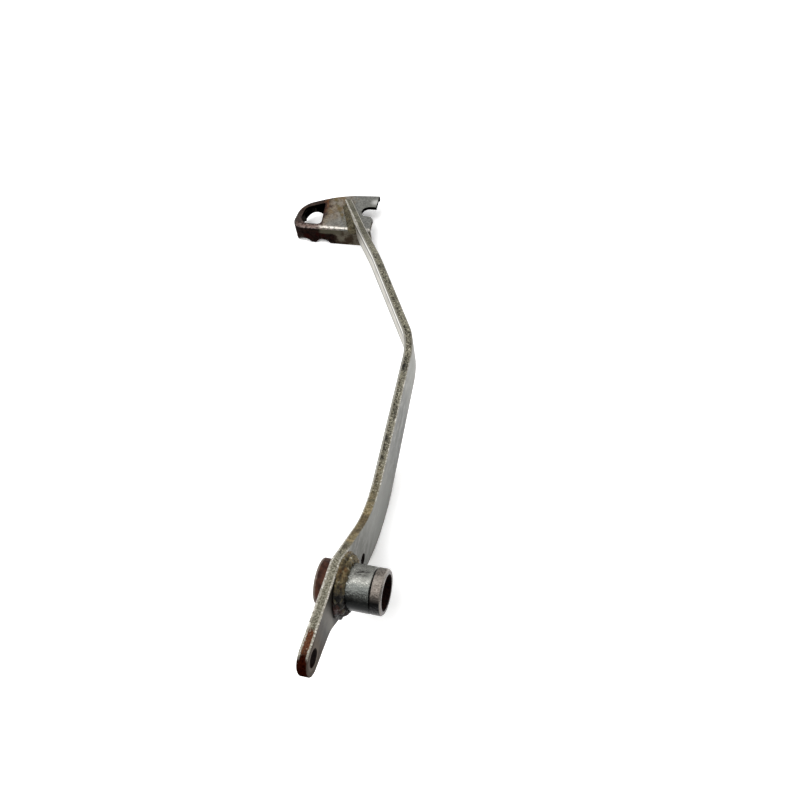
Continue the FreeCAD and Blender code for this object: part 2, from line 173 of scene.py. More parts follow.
# the plate unrolled: deep across its thickness, along its length
reach_x = calc(tree, "SUBTRACT", x, -BEND_RADIUS)
reach_y = calc(tree, "SUBTRACT", y, BEND_START)
turned = put(tree, "Clamp", {0: calc(tree, "ARCTAN2", reach_y, reach_x), 1: 0.0, 2: BEND_ANGLE}).outputs[0]
cosine = calc(tree, "COSINE", turned)
sine = calc(tree, "SINE", turned)
outward = put(tree, "CombineXYZ", {0: cosine, 1: sine}).outputs[0]
deep = calc(tree, "ADD", both(tree, reach_x, cosine),
            calc(tree, "SUBTRACT", both(tree, reach_y, sine), BEND_RADIUS))
along = calc(tree, "SUBTRACT", both(tree, reach_y, cosine), both(tree, reach_x, sine))
along = calc(tree, "MULTIPLY_ADD", turned, BEND_RADIUS, along)
flat = put(tree, "CombineXYZ", {0: deep, 1: along, 2: z}).outputs[0]

# which way the surface faces: the flat faces lie sideways, the cut edges don't
facing = put(tree, "NewGeometry").outputs["Normal"]
across = put(tree, "VectorMath", {0: facing, 1: outward}, operation="DOT_PRODUCT").outputs["Value"]
sideways = calc(tree, "ABSOLUTE", across)
outboard = rise(tree, across, -0.3, -0.8)
outboard_side = rise(tree, deep, 0.001, -0.001)
past_bend = rise(tree, y, 0.110, 0.120)
cut_edge = rise(tree, sideways, 0.62, 0.3)

# patterns of the plate, from the largest to the finest
ROLLING_SLOPE = (0.23, 0.0, 0.0)
blots = grain(tree, where, (0.012, 0.010, 0.012), detail=3.0, rough=0.55, shift=0.37)
mottle = grain(tree, where, 0.009, detail=5.0, rough=0.6)
streak = grain(tree, flat, (0.02, 0.018, 0.0040), detail=5.0, rough=0.65, turn=ROLLING_SLOPE)
smudge = grain(tree, flat, (0.02, 0.0055, 0.0035), detail=5.0, rough=0.62, turn=ROLLING_SLOPE, shift=0.21)
fine_streak = grain(tree, flat, (0.02, 0.03, 0.0005), detail=3.0, rough=0.6, turn=ROLLING_SLOPE)
speck = grain(tree, where, 0.0009, detail=3.0, rough=0.6)
pits = grain(tree, where, 0.0008, detail=5.0, rough=0.70)

# flat faces: grey, faintly streaked along the plate
plate_dark = tone(108, 109, 107)
plate_light = tone(132, 132, 128)
thin_streak = tone(104, 104, 101)
warm_patch = tone(118, 112, 102)
smudge_dark = tone(98, 97, 93)
smudge_light = tone(166, 166, 162)
middle_grey = tone(134, 134, 129)
far_grey = tone(166, 166, 160)
face = over(tree, rise(tree, streak, 0.35, 0.68), plate_dark, plate_light)
face = over(tree, rise(tree, fine_streak, 0.58, 0.75, top=0.14), face, thin_streak)
face = over(tree, rise(tree, mottle, 0.52, 0.72, top=0.5), face, warm_patch)
face = over(tree, rise(tree, smudge, 0.50, 0.62, top=0.5), face, smudge_dark)
face = over(tree, rise(tree, smudge, 0.47, 0.36, top=0.5), face, smudge_light)
middle = band(tree, wavy(tree, y, mottle, 0.02), 0.022, 0.070, soft=0.015)
face = over(tree, both(tree, middle, 0.75), face, middle_grey)
face = over(tree, rise(tree, y, 0.095, 0.125, top=0.6), face, far_grey)

# darker towards the hub, dull on it, and matt and stained round the rod hole
hubward_light = tone(114, 113, 107)
hubward_dark = tone(82, 81, 75)
dull_dark = tone(48, 45, 40)
dull_light = tone(74, 69, 62)
behind_hub = tone(46, 42, 38)
wiped_grey = tone(108, 104, 97)
stain_dark = tone(66, 57, 49)
stain_light = tone(98, 88, 78)
stain_end = tone(56, 45, 37)
hole_rim = tone(100, 90, 82)
weld_shade_black = tone(32, 28, 22)
hubward_grey = over(tree, rise(tree, smudge, 0.40, 0.60), hubward_light, hubward_dark)
face = over(tree, rise(tree, y, 0.045, 0.020, top=0.70), face, hubward_grey)
dull = over(tree, rise(tree, streak, 0.35, 0.65), dull_dark, dull_light)
face = over(tree, rise(tree, wavy(tree, y, mottle, 0.02), 0.012, -0.012), face, dull)
face = over(tree, rise(tree, wavy(tree, y, mottle, 0.012), -0.014, -0.030, top=0.85), face, behind_hub)
wiped = band(tree, wavy(tree, y, mottle, 0.006), -0.0205, -0.0135, soft=0.003)
face = over(tree, both(tree, wiped, 0.8), face, wiped_grey)
matt = rise(tree, wavy(tree, y, mottle, 0.008), -0.021, -0.032)
stained = over(tree, rise(tree, streak, 0.38, 0.62), stain_dark, stain_light)
stained = over(tree, rise(tree, y, -0.031, -0.038, top=0.7), stained, stain_end)
face = over(tree, matt, face, stained)
side_place = put(tree, "CombineXYZ", {1: y, 2: z}).outputs[0]
near_hole = put(tree, "VectorMath", {0: side_place, 1: ROD_HOLE_CENTRE},
                operation="DISTANCE").outputs["Value"]
face = over(tree, band(tree, near_hole, 0.0042, 0.0050, soft=0.0007), face, hole_rim)
# painted shade on the face beside the weld, on its rear side
near_weld = rise(tree, wavy(tree, from_pivot(tree, y, z), mottle, 0.006), 0.0175, 0.0145)
weld_shade = both(tree, near_weld, rise(tree, y, 0.003, -0.006), 0.85)
face = over(tree, weld_shade, face, weld_shade_black)

# outboard face past the bend: pale as painted light, with one long dark line and a band along its upper edge
# that is rubbed and a painted highlight
EDGE_START = (0.160, 0.00885)
EDGE_SLOPE = -0.0634
TAPER_START = 0.198
TAPER_SLOPE = -0.286
lit_pale_dark = tone(172, 168, 159)
lit_pale_light = tone(204, 200, 190)
lit_pale_foot = tone(150, 148, 142)
long_line = tone(70, 70, 66)
rubbed_highlight_band = tone(240, 238, 232)
edge_level = calc(tree, "MULTIPLY_ADD", calc(tree, "SUBTRACT", y, EDGE_START[0]), EDGE_SLOPE, EDGE_START[1])
tapered = calc(tree, "MAXIMUM", calc(tree, "SUBTRACT", y, TAPER_START), 0.0)
edge_level = calc(tree, "MULTIPLY_ADD", tapered, TAPER_SLOPE, edge_level)
below_edge = calc(tree, "SUBTRACT", edge_level, z)
uneven_below = wavy(tree, below_edge, mottle, 0.001)
lit_pale = over(tree, rise(tree, mottle, 0.35, 0.65), lit_pale_dark, lit_pale_light)
lit_pale = over(tree, rise(tree, below_edge, 0.0125, 0.0165), lit_pale, lit_pale_foot)
lit_pale = over(tree, band(tree, uneven_below, 0.0036, 0.0058, soft=0.0006), lit_pale, long_line)
lit_pale = over(tree, band(tree, uneven_below, 0.0002, 0.0030, soft=0.0005), lit_pale, rubbed_highlight_band)
face = over(tree, both(tree, outboard, past_bend), face, lit_pale)

# cut edges: olive dirt in a pitted surface, with black blots and pale grit
BLOT_PLACES = (0.0693, 0.0790, 0.1175)
HALF_BLOT = 0.0015
pit_dark = tone(36, 34, 26)
olive_dirt = tone(142, 137, 118)
inboard_dirt = tone(132, 129, 114)
pale_grit = tone(200, 195, 175)
clot_dark = tone(40, 38, 32)
blot_black = tone(26, 26, 23)
dirt = over(tree, rise(tree, pits, 0.40, 0.60), pit_dark, olive_dirt)
dirt = over(tree, rise(tree, deep, -0.0008, 0.0018, top=0.4), dirt, inboard_dirt)
dirt = over(tree, rise(tree, speck, 0.57, 0.66, top=0.9), dirt, pale_grit)
clotted = both(tree, rise(tree, blots, 0.48, 0.62, top=0.85), rise(tree, pits, 0.64, 0.44))
dirt = over(tree, clotted, dirt, clot_dark)
outer_half = rise(tree, deep, 0.0012, -0.0004, top=0.9)
for blot in BLOT_PLACES:
    spot = band(tree, wavy(tree, y, pits, 0.006), blot - HALF_BLOT, blot + HALF_BLOT, soft=0.0012)
    dirt = over(tree, both(tree, spot, outer_half), dirt, blot_black)

# a tan coat in the elbow, darker dirt on the far end, grey grit on top of the hub
coat_brown = tone(84, 74, 50)
coat_tan = tone(144, 126, 88)
coat_grey = tone(100, 97, 78)
coat_spot = tone(78, 62, 40)
far_dirt = tone(80, 79, 66)
hub_dark = tone(84, 81, 67)
hub_light = tone(156, 152, 136)
elbow = both(tree, rise(tree, y, 0.008, 0.018), rise(tree, y, 0.080, 0.030))
coat = over(tree, rise(tree, smudge, 0.38, 0.62), coat_brown, coat_tan)
coat = over(tree, rise(tree, mottle, 0.50, 0.62, top=0.8), coat, coat_grey)
coat = over(tree, rise(tree, blots, 0.50, 0.62, top=0.7), coat, coat_spot)
dirt = over(tree, both(tree, elbow, rise(tree, pits, 0.30, 0.5, top=0.8)), dirt, coat)
dirt = over(tree, rise(tree, y, 0.205, 0.228, top=0.5), dirt, far_dirt)
hub_top = over(tree, rise(tree, pits, 0.40, 0.62), hub_dark, hub_light)
dirt = over(tree, rise(tree, y, 0.012, 0.004), dirt, hub_top)

# rear end: orange rust on the upper edge, then dark maroon round the end; both holes painted dark inside as
# painted shade
rust_dark = tone(62, 32, 17)
rust_light = tone(106, 66, 40)
maroon_dark = tone(23, 8, 5)
maroon_light = tone(50, 22, 13)
maroon_foot = tone(12, 5, 4)
hole_shade = tone(26, 14, 10)
rear = wavy(tree, y, mottle, 0.006)
rust = over(tree, rise(tree, pits, 0.35, 0.65), rust_dark, rust_light)
maroon = over(tree, rise(tree, pits, 0.35, 0.65), maroon_dark, maroon_light)
maroon = over(tree, rise(tree, z, 0.010, 0.003), maroon, maroon_foot)
end = rise(tree, rear, -0.0350, -0.0385)
rust = over(tree, end, rust, maroon)
between_grit = either(tree, rise(tree, speck, 0.66, 0.6), end)
dirt = over(tree, both(tree, rise(tree, rear, -0.0262, -0.0280), between_grit), dirt, rust)
in_spring_hole = both(tree, band(tree, y, *SPRING_HOLE_ALONG, soft=0.0001),
                      band(tree, z, *SPRING_HOLE_LEVELS, soft=0.0001))
in_hole = either(tree, rise(tree, near_hole, 0.0040, 0.0038), in_spring_hole)
dirt = over(tree, in_hole, dirt, hole_shade)

# corners rubbed bright and painted with a highlight, in a broken line that is wider on the hub and fades in
# the elbow
LINE_WIDTH = 0.00050
HUB_LINE_WIDTH = 0.00085
OUTBOARD_EXTRA = 0.00025
OUTBOARD_EXTRA_THICK = 0.00060
LINE_SOFT = 0.00025
rubbed_lit_dark = tone(160, 155, 142)
rubbed_lit_light = tone(240, 236, 226)
rubbed_lit_pit = tone(98, 92, 76)
rubbed_lit_far = tone(128, 125, 116)
rubbed_lit_outboard = tone(158, 157, 150)
edge_room = calc(tree, "SUBTRACT", HALF_PLATE, calc(tree, "ABSOLUTE", deep))
line_width = blend(tree, rise(tree, y, 0.030, 0.005), LINE_WIDTH, HUB_LINE_WIDTH)
thick = either(tree, band(tree, y, 0.055, 0.140, soft=0.015), rise(tree, y, 0.232, 0.245))
extra = blend(tree, thick, OUTBOARD_EXTRA, OUTBOARD_EXTRA_THICK)
line_width = calc(tree, "MULTIPLY_ADD", outboard_side, extra, line_width)
past_line = calc(tree, "SUBTRACT", wavy(tree, edge_room, pits, 0.0009), line_width)
line = both(tree, rise(tree, past_line, LINE_SOFT, -LINE_SOFT), rise(tree, sideways, 0.97, 0.85),
            rest_of(tree, in_hole))
line_gap = both(tree, band(tree, wavy(tree, y, mottle, 0.006), 0.012, 0.046, soft=0.004),
                rise(tree, deep, 0.0, 0.001, top=0.85))
line = both(tree, line, rise(tree, y, -0.0400, -0.0370), rest_of(tree, line_gap))
rubbed_and_lit = over(tree, rise(tree, speck, 0.46, 0.64), rubbed_lit_dark, rubbed_lit_light)
rubbed_and_lit = over(tree, rise(tree, pits, 0.46, 0.36), rubbed_and_lit, rubbed_lit_pit)
rubbed_and_lit = over(tree, both(tree, band(tree, y, 0.115, 0.240, soft=0.010), 0.75), rubbed_and_lit, rubbed_lit_far)
outboard_line = both(tree, outboard_side, band(tree, y, 0.055, 0.135, soft=0.015), 0.75)
rubbed_and_lit = over(tree, outboard_line, rubbed_and_lit, rubbed_lit_outboard)

colour = over(tree, cut_edge, face, dirt)
colour = over(tree, both(tree, line, 0.92), colour, rubbed_and_lit)
rough = blend(tree, cut_edge, blend(tree, matt, 0.42, 0.68), 0.68)
rough = blend(tree, line, rough, 0.34)
metal = blend(tree, cut_edge, blend(tree, matt, 0.85, 0.2), 0.3)
metal = blend(tree, line, blend(tree, end, metal, 0.0), 0.8)
shine = blend(tree, cut_edge, blend(tree, matt, 0.5, 0.15), blend(tree, end, 0.25, 0.0))
height = calc(tree, "MULTIPLY_ADD", pits, blend(tree, cut_edge, 0.06, 1.0), both(tree, fine_streak, 0.02))
set_finish(tree, colour, rough, metal, shine, height, depth=0.0007)
dress("lever_arm", arm_finish)
wear_corners("lever_arm")


# Pivot tube
# A short length of drawn steel tube through the hub, welded on the inboard side and scuffed, with a rusty
# outboard end. Its colour carries painted light and shade by the angle round it, and a painted dark
# reflection along its lower rear side.
BUSH_JOINT = (0.01574, 0.01594)


def round_pivot(tree, y, z):
    # angle round the pivot axis, 0 on top and growing towards the rear
    return calc(tree, "ARCTAN2", calc(tree, "MULTIPLY", y, -1.0), z)


tube_finish, tree, where, (x, y, z) = new_finish("scuffed_tube")
cloud = grain(tree, where, 0.005, detail=4.0, rough=0.6)
scuff = grain(tree, where, (0.0014, 0.0014, 0.0010), detail=5.0, rough=0.68)
scrape = grain(tree, where, (0.0034, 0.0007, 0.0007), detail=4.0, rough=0.65, turn=(0.0, 0.0, 0.35))
angle = round_pivot(tree, y, z)
uneven_angle = wavy(tree, angle, cloud, 0.3)

# drawn steel with dark and bright scuffs, painted brightest on top, with painted shade to the rear, to the
# front and at the foot
tube_dark = tone(124, 124, 119)
tube_light = tone(166, 166, 160)
shaded_rear_grey = tone(75, 78, 76)
shaded_front_grey = tone(100, 100, 96)
scuff_dark = tone(96, 97, 94)
scuff_light = tone(206, 204, 196)
shaded_foot_grey = tone(46, 47, 45)
steel = over(tree, rise(tree, cloud, 0.35, 0.65), tube_dark, tube_light)
steel = over(tree, rise(tree, uneven_angle, 0.10, 0.40, top=0.85), steel, shaded_rear_grey)
steel = over(tree, rise(tree, uneven_angle, -0.15, -0.45, top=0.45), steel, shaded_front_grey)
steel = over(tree, rise(tree, scuff, 0.55, 0.68, top=0.6), steel, scuff_dark)
steel = over(tree, rise(tree, scuff, 0.40, 0.32, top=0.6), steel, scuff_light)
steel = over(tree, rise(tree, uneven_angle, 1.25, 1.55, top=0.85), steel, shaded_foot_grey)

# a painted dark reflection on the lower rear side, a patch of short scrapes, and a dark joint at the bush
reflection_dark = tone(5, 8, 8)
reflection_light = tone(13, 17, 17)
scrape_dark = tone(40, 38, 36)
joint_dark = tone(14, 12, 11)
dark_reflection_band = band(tree, uneven_angle, 0.95, 1.62, soft=0.14)
dark_reflection = over(tree, rise(tree, scuff, 0.4, 0.7), reflection_dark, reflection_light)
steel = over(tree, both(tree, dark_reflection_band, 0.95), steel, dark_reflection)
scrapes_and_sheen = both(tree, band(tree, wavy(tree, x, cloud, 0.004), 0.0080, 0.0134, soft=0.0012),
               band(tree, wavy(tree, angle, scuff, 0.2), -0.40, -0.08, soft=0.10),
               rise(tree, scrape, 0.46, 0.54))
steel = over(tree, scrapes_and_sheen, steel, scrape_dark)
steel = over(tree, rise(tree, x, *BUSH_JOINT), steel, joint_dark)

# the outboard stub is rusty, with a rubbed end
stub_dark = tone(34, 18, 13)
stub_light = tone(78, 50, 38)
stub_rim = tone(120, 110, 102)
stub = rise(tree, x, 0.001, -0.002)
rust = over(tree, rise(tree, cloud, 0.35, 0.65), stub_dark, stub_light)
rust = over(tree, rise(tree, wavy(tree, x, scuff, 0.0012), -0.0066, -0.0074), rust, stub_rim)
colour = over(tree, stub, steel, rust)
rough = blend(tree, stub, blend(tree, scuff, 0.14, 0.36), 0.6)
metal = blend(tree, stub, 0.95, 0.25)
shine = blend(tree, stub, 0.5, 0.15)
height = blend(tree, dark_reflection_band, scuff, 0.5)
set_finish(tree, colour, rough, metal, shine, height, depth=0.00035)
dress("pivot_tube", tube_finish)


# Pivot bush
# A turned steel bush, pressed into the tube up to its flange. It is of a warmer tone than the tube,
# with a rubbed end face and a dark, greasy bore that is also painted shade. Its colour carries painted light
# on top, painted shade to the rear and a near-black painted reflection low on the rear side.
BORE_BORDER = (0.0078, 0.0076)
FLANGE_RIM = (0.0203, 0.0209)
END_FACE = (0.02080, 0.02090)
FLANGE_JOINT = (0.01636, 0.01616)
bush_finish, tree, where, (x, y, z) = new_finish("turned_bush")
rings = grain(tree, where, (0.0005, 0.006, 0.006), detail=4.0, rough=0.6)
scuff = grain(tree, where, 0.0012, detail=5.0, rough=0.66)
uneven_angle = wavy(tree, round_pivot(tree, y, z), scuff, 0.2)
bush_dark = tone(86, 81, 75)
bush_light = tone(130, 123, 116)
bush_bright = tone(198, 188, 180)
end_grey = tone(78, 73, 69)
rim_grey = tone(148, 142, 135)
highlight_top = tone(160, 152, 144)
shaded_rear_grey = tone(84, 78, 74)
reflection_black = tone(9, 8, 8)
bore_shade_black = tone(9, 6, 5)
grease_brown = tone(40, 22, 17)
steel = over(tree, rise(tree, scuff, 0.36, 0.64), bush_dark, bush_light)
steel = over(tree, rise(tree, scuff, 0.40, 0.30, top=0.6), steel, bush_bright)
steel = over(tree, rise(tree, x, *END_FACE), steel, end_grey)
rim = both(tree, band(tree, x, *FLANGE_RIM, soft=0.00015), rise(tree, scuff, 0.30, 0.5))
steel = over(tree, rim, steel, rim_grey)
# painted light on top and painted shade to the rear
steel = over(tree, both(tree, band(tree, uneven_angle, -0.22, 0.12, soft=0.1), 0.5), steel, highlight_top)
steel = over(tree, rise(tree, uneven_angle, 0.12, 0.38, top=0.5), steel, shaded_rear_grey)
# a near-black painted reflection low on the rear side
dark_reflection_band = both(tree, band(tree, uneven_angle, 0.86, 1.75, soft=0.16), rise(tree, x, 0.0206, 0.0203))
steel = over(tree, dark_reflection_band, steel, reflection_black)
steel = over(tree, rise(tree, x, *FLANGE_JOINT), steel, joint_dark)
# the bore: grease, darkened further as painted shade
bore = rise(tree, from_pivot(tree, y, z), *BORE_BORDER)
bore_shade_and_grease = over(tree, rise(tree, scuff, 0.4, 0.6), bore_shade_black, grease_brown)
colour = over(tree, bore, steel, bore_shade_and_grease)
rough = blend(tree, bore, blend(tree, scuff, 0.18, 0.40), 0.5)
metal = blend(tree, bore, 0.92, 0.4)
shine = blend(tree, bore, 0.5, 0.15)
height = calc(tree, "MULTIPLY_ADD", rings, 0.3, scuff)
set_finish(tree, colour, rough, metal, shine, height, depth=0.0003)
dress("pivot_bush", bush_finish)


# Pivot weld
# The bead that joins the tube to the inboard face of the hub, laid in short overlapping lumps in two passes
# and browned by heat and rust, with painted glints on its lumps and painted shade in the valley between
# the passes and over its lower side.
TUBE_RADIUS = 0.00975
WELD_LEG = 0.0036
WELD_STEPS = 144
WELD_LUMP = 0.0022
WELD_RELIEF = 0.0012
WELD_PULSES = 11.0
WELD_SLANT = 120.0
PULSE_MEAN = 0.6
LUMP_SHARE = 0.75
PULSE_SHARE = 0.45
LUMP_FALLOFF = 0.9
LUMP_FINER = 2.0
LUMP_LAYERS = 3
# the section in shares of the leg, out from the plate and up from the tube
weld_section = ((-0.05, 1.22), (0.14, 1.26), (0.32, 1.16), (0.42, 0.94), (0.50, 0.76), (0.62, 0.78),
                (0.80, 0.74), (0.96, 0.52), (1.06, 0.22), (1.06, -0.10), (-0.05, -0.10))


def swelling(point, size):
    # lumps of the given size, between about -1 and 1
    return noise.fractal(point / size, LUMP_FALLOFF, LUMP_FINER, LUMP_LAYERS)


def ring_ripples(point):
    # the edges of the lumps, laid slantwise round the tube
    turn = math.atan2(point.y, point.z)
    slant = WELD_SLANT * (point.x - HALF_PLATE)
    return abs(math.sin(WELD_PULSES * turn + slant)) - PULSE_MEAN


def new_bead(name, mesh_shape, made):
    bmesh.ops.recalc_face_normals(mesh_shape, faces=mesh_shape.faces)
    mesh = bpy.data.meshes.new(name)
    mesh_shape.to_mesh(mesh)
    mesh_shape.free()
    mesh.materials.append(made)
    for polygon in mesh.polygons:
        polygon.use_smooth = True
    piece = bpy.data.objects.new(name, mesh)
    bpy.context.scene.collection.objects.link(piece)
    melted = piece.modifiers.new("melted_surface", "SUBSURF")
    melted.levels = 1
    melted.render_levels = 1
    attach(piece, "root")
    return piece


shape = bmesh.new()
ring = [shape.verts.new((HALF_PLATE + WELD_LEG * out, 0.0, TUBE_RADIUS + WELD_LEG * up))
        for out, up in weld_section]
chain = [shape.edges.new(pair) for pair in zip(ring, ring[1:] + ring[:1])]
bmesh.ops.spin(shape, geom=ring + chain, cent=(0, 0, 0), axis=(1, 0, 0), angle=math.tau, steps=WELD_STEPS,
               use_merge=True)
bmesh.ops.recalc_face_normals(shape, faces=shape.faces)
shape.normal_update()
for vert in shape.verts:
    in_plate = vert.co.x < HALF_PLATE
    in_tube = Vector((vert.co.y, vert.co.z)).length < TUBE_RADIUS
    if in_plate or in_tube:
        continue
    lump = LUMP_SHARE * swelling(vert.co, WELD_LUMP) + PULSE_SHARE * ring_ripples(vert.co)
    vert.co += vert.normal * WELD_RELIEF * lump

weld_finish, tree, where, (x, y, z) = new_finish("browned_weld")
cloud = grain(tree, where, 0.005, detail=4.0, rough=0.6)
lumps = grain(tree, where, 0.0018, detail=5.0, rough=0.65)
bead_dark = tone(58, 49, 29)
bead_light = tone(126, 113, 81)
bead_brown = tone(98, 70, 36)
bead_glint = tone(186, 180, 160)
valley_shade = tone(32, 25, 13)
low_shade_black = tone(11, 8, 5)
low_olive_glint = tone(78, 73, 54)
low_rust = tone(58, 24, 14)
bead = over(tree, rise(tree, lumps, 0.38, 0.62), bead_dark, bead_light)
bead = over(tree, rise(tree, cloud, 0.52, 0.66, top=0.8), bead, bead_brown)
# painted glints on the highest lumps
bead = over(tree, rise(tree, lumps, 0.60, 0.67), bead, bead_glint)
# painted shade in the valley between the two passes
valley = band(tree, wavy(tree, x, lumps, 0.0016), 0.00345, 0.00435, soft=0.0003)
bead = over(tree, both(tree, valley, 0.55), bead, valley_shade)
# painted shade over the lower side, with olive glints on the lumps and a patch of rust
low = over(tree, rise(tree, lumps, 0.48, 0.64), low_shade_black, low_olive_glint)
low = over(tree, rise(tree, cloud, 0.54, 0.66, top=0.8), low, low_rust)
shaded_low_side = rise(tree, wavy(tree, round_pivot(tree, y, z), cloud, 0.8), 0.30, 0.85)
colour = over(tree, shaded_low_side, bead, low)
rough = blend(tree, rise(tree, lumps, 0.4, 0.6), 0.50, 0.22)
set_finish(tree, colour, rough, metal=0.15, shine=0.35, height=lumps, depth=0.0016)
pivot_bead = new_bead("pivot_bead", shape, weld_finish)
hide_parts("pivot_weld")


# Toe pad
# A stamped steel tread, lying on its teeth and welded to the arm: clean grey by the arm, brown patina
# towards the rounded end, dark walls, and a fold rubbed bright and painted with a highlight.
LIP_CORNER = (-0.0625, 0.2780, -0.0192)
TRAIL_START = 0.2505
TRAIL_SLOPE = 0.561
WINDOW_CORNER = (-0.093, 0.2522)
WINDOW_SLOPE = 0.152
pad_finish, tree, where, (x, y, z) = new_finish("stamped_pad")
facing = put(tree, "NewGeometry").outputs["Normal"]
facing_x, facing_y, facing_z = put(tree, "SeparateXYZ", {0: facing}).outputs
patch = grain(tree, where, 0.008, detail=5.0, rough=0.6)
swirl = grain(tree, where, (0.0035, 0.0060, 0.0060), detail=5.0, rough=0.6, turn=(0.0, 0.0, 0.5), shift=0.13)
fine = grain(tree, where, 0.0014, detail=5.0, rough=0.65)
fine_halves = rise(tree, fine, 0.35, 0.65)
spread = wavy(tree, x, patch, 0.024)
uneven_y = wavy(tree, y, patch, 0.012)

# the base: grey by the arm, warmer in the middle, brown round the window
pad_dark = tone(98, 98, 94)
pad_light = tone(130, 130, 125)
warm_dark = tone(102, 90, 75)
warm_light = tone(136, 123, 105)
patina_dark = tone(40, 30, 27)
patina_light = tone(72, 59, 52)
patina_rust = tone(98, 66, 40)
steel = over(tree, fine_halves, pad_dark, pad_light)
warm = over(tree, fine_halves, warm_dark, warm_light)
patina = over(tree, fine_halves, patina_dark, patina_light)
patina = over(tree, rise(tree, patch, 0.54, 0.70, top=0.6), patina, patina_rust)
base = over(tree, rise(tree, spread, -0.076, -0.086, top=0.8), steel, warm)
base = over(tree, rise(tree, spread, -0.091, -0.096), base, patina)

# a tan trail beside the weld, and tan and grey swirls in the middle
trail_dark = tone(72, 66, 44)
trail_light = tone(104, 97, 70)
swirl_tan = tone(112, 92, 62)
swirl_grey = tone(138, 132, 124)
trail = calc(tree, "MULTIPLY_ADD", calc(tree, "SUBTRACT", y, TRAIL_START), TRAIL_SLOPE, x)
on_trail = band(tree, wavy(tree, trail, patch, 0.005), -0.0760, -0.0738, soft=0.0012)
base = over(tree, both(tree, on_trail, 0.85), base, over(tree, fine_halves, trail_dark, trail_light))
middle = band(tree, spread, -0.0925, -0.0775, soft=0.003)
tan = both(tree, rise(tree, swirl, 0.50, 0.60, top=0.6), middle, rise(tree, y, 0.254, 0.260))
base = over(tree, tan, base, swirl_tan)
base = over(tree, both(tree, rise(tree, swirl, 0.46, 0.36, top=0.6), middle), base, swirl_grey)
clean = both(tree, rise(tree, uneven_y, 0.264, 0.254), rise(tree, spread, -0.092, -0.085), 0.65)
base = over(tree, clean, base, steel)

# rust beside the window, a painted pinkish sheen along the near side, a gleam on the lip and a dark rim round
# the window
window_rust = tone(102, 66, 40)
sheen_pink = tone(176, 158, 152)
gleam_white = tone(222, 222, 218)
rim_brown = tone(52, 32, 27)
past_window = calc(tree, "MULTIPLY_ADD", calc(tree, "SUBTRACT", y, WINDOW_CORNER[1]), WINDOW_SLOPE,
                   calc(tree, "SUBTRACT", x, WINDOW_CORNER[0]))
beside = both(tree, band(tree, wavy(tree, past_window, swirl, 0.010), 0.0, 0.0028, soft=0.0010),
              rise(tree, uneven_y, 0.260, 0.268), rise(tree, fine, 0.34, 0.5, top=0.8))
base = over(tree, beside, base, window_rust)
scrapes_and_sheen = both(tree, rise(tree, wavy(tree, y, swirl, 0.004), 0.2532, 0.2515),
               band(tree, spread, -0.108, -0.084, soft=0.003), rise(tree, fine, 0.42, 0.58, top=0.65))
base = over(tree, scrapes_and_sheen, base, sheen_pink)
from_corner = put(tree, "VectorMath", {0: where, 1: LIP_CORNER}, operation="DISTANCE").outputs["Value"]
gleam = rise(tree, wavy(tree, from_corner, fine, 0.002), 0.0042, 0.0004, top=0.6)
base = over(tree, gleam, base, gleam_white)
straight_rim = both(tree, band(tree, past_window, -0.0008, 0.0009, soft=0.0003),
                    band(tree, y, 0.2514, 0.2746, soft=0.0004))
near_rim = both(tree, band(tree, y, 0.2513, 0.2526, soft=0.0003), band(tree, x, -0.1080, -0.0925, soft=0.001))
base = over(tree, both(tree, either(tree, straight_rim, near_rim), 0.9), base, rim_brown)

# the walls: nearly black and maroon, bare and olive near the arm, black inside the far one
wall_black = tone(11, 6, 6)
wall_brown = tone(38, 25, 21)
wall_maroon = tone(40, 13, 9)
bare_dark = tone(56, 47, 38)
bare_light = tone(98, 93, 82)
wall_olive = tone(82, 79, 67)
shaded_black = tone(9, 8, 7)
wall = rise(tree, facing_z, 0.45, 0.15)
dark = over(tree, rise(tree, fine, 0.38, 0.62), wall_black, wall_brown)
dark = over(tree, rise(tree, patch, 0.52, 0.62, top=0.8), dark, wall_maroon)
bare = over(tree, rise(tree, patch, 0.42, 0.58), bare_dark, bare_light)
dark = over(tree, rise(tree, spread, -0.089, -0.080), dark, bare)
olive = both(tree, band(tree, wavy(tree, x, patch, 0.006), -0.0935, -0.0790, soft=0.0015),
             band(tree, wavy(tree, z, swirl, 0.003), -0.0243, -0.0205, soft=0.0005), 0.8)
dark = over(tree, olive, dark, wall_olive)
far_inside = both(tree, rise(tree, y, 0.258, 0.262), rise(tree, facing_y, 0.3, 0.0))
dark = over(tree, far_inside, dark, shaded_black)
colour = over(tree, wall, base, dark)

# the underside, the fold rubbed bright and painted with a highlight along the near side, and the black end of
# the lip
under_dark = tone(66, 56, 48)
under_light = tone(104, 98, 90)
fold_brown = tone(88, 72, 66)
fold_highlight = tone(200, 195, 186)
under = over(tree, rise(tree, patch, 0.4, 0.6), under_dark, under_light)
colour = over(tree, rise(tree, facing_z, -0.1, -0.4), colour, under)
fold = both(tree, rise(tree, facing_z, 0.985, 0.94), rise(tree, facing_z, 0.58, 0.74),
            rise(tree, fine, 0.30, 0.5), rise(tree, y, 0.2560, 0.2520))
rubbed_and_lit = over(tree, rise(tree, spread, -0.100, -0.088), fold_brown, fold_highlight)
colour = over(tree, both(tree, fold, rise(tree, spread, -0.112, -0.104, top=0.9)), colour, rubbed_and_lit)
lip_end = both(tree, rise(tree, facing_x, 0.4, 0.7), rise(tree, y, 0.266, 0.270))
colour = over(tree, lip_end, colour, shaded_black)
rough = blend(tree, fold, blend(tree, wall, 0.46, 0.75), 0.30)
metal = blend(tree, wall, 0.8, 0.1)
shine = blend(tree, far_inside, blend(tree, wall, 0.5, 0.03), 0.0)
height = calc(tree, "MULTIPLY_ADD", patch, 0.4, fine)
set_finish(tree, colour, rough, metal, shine, height, depth=0.0004)
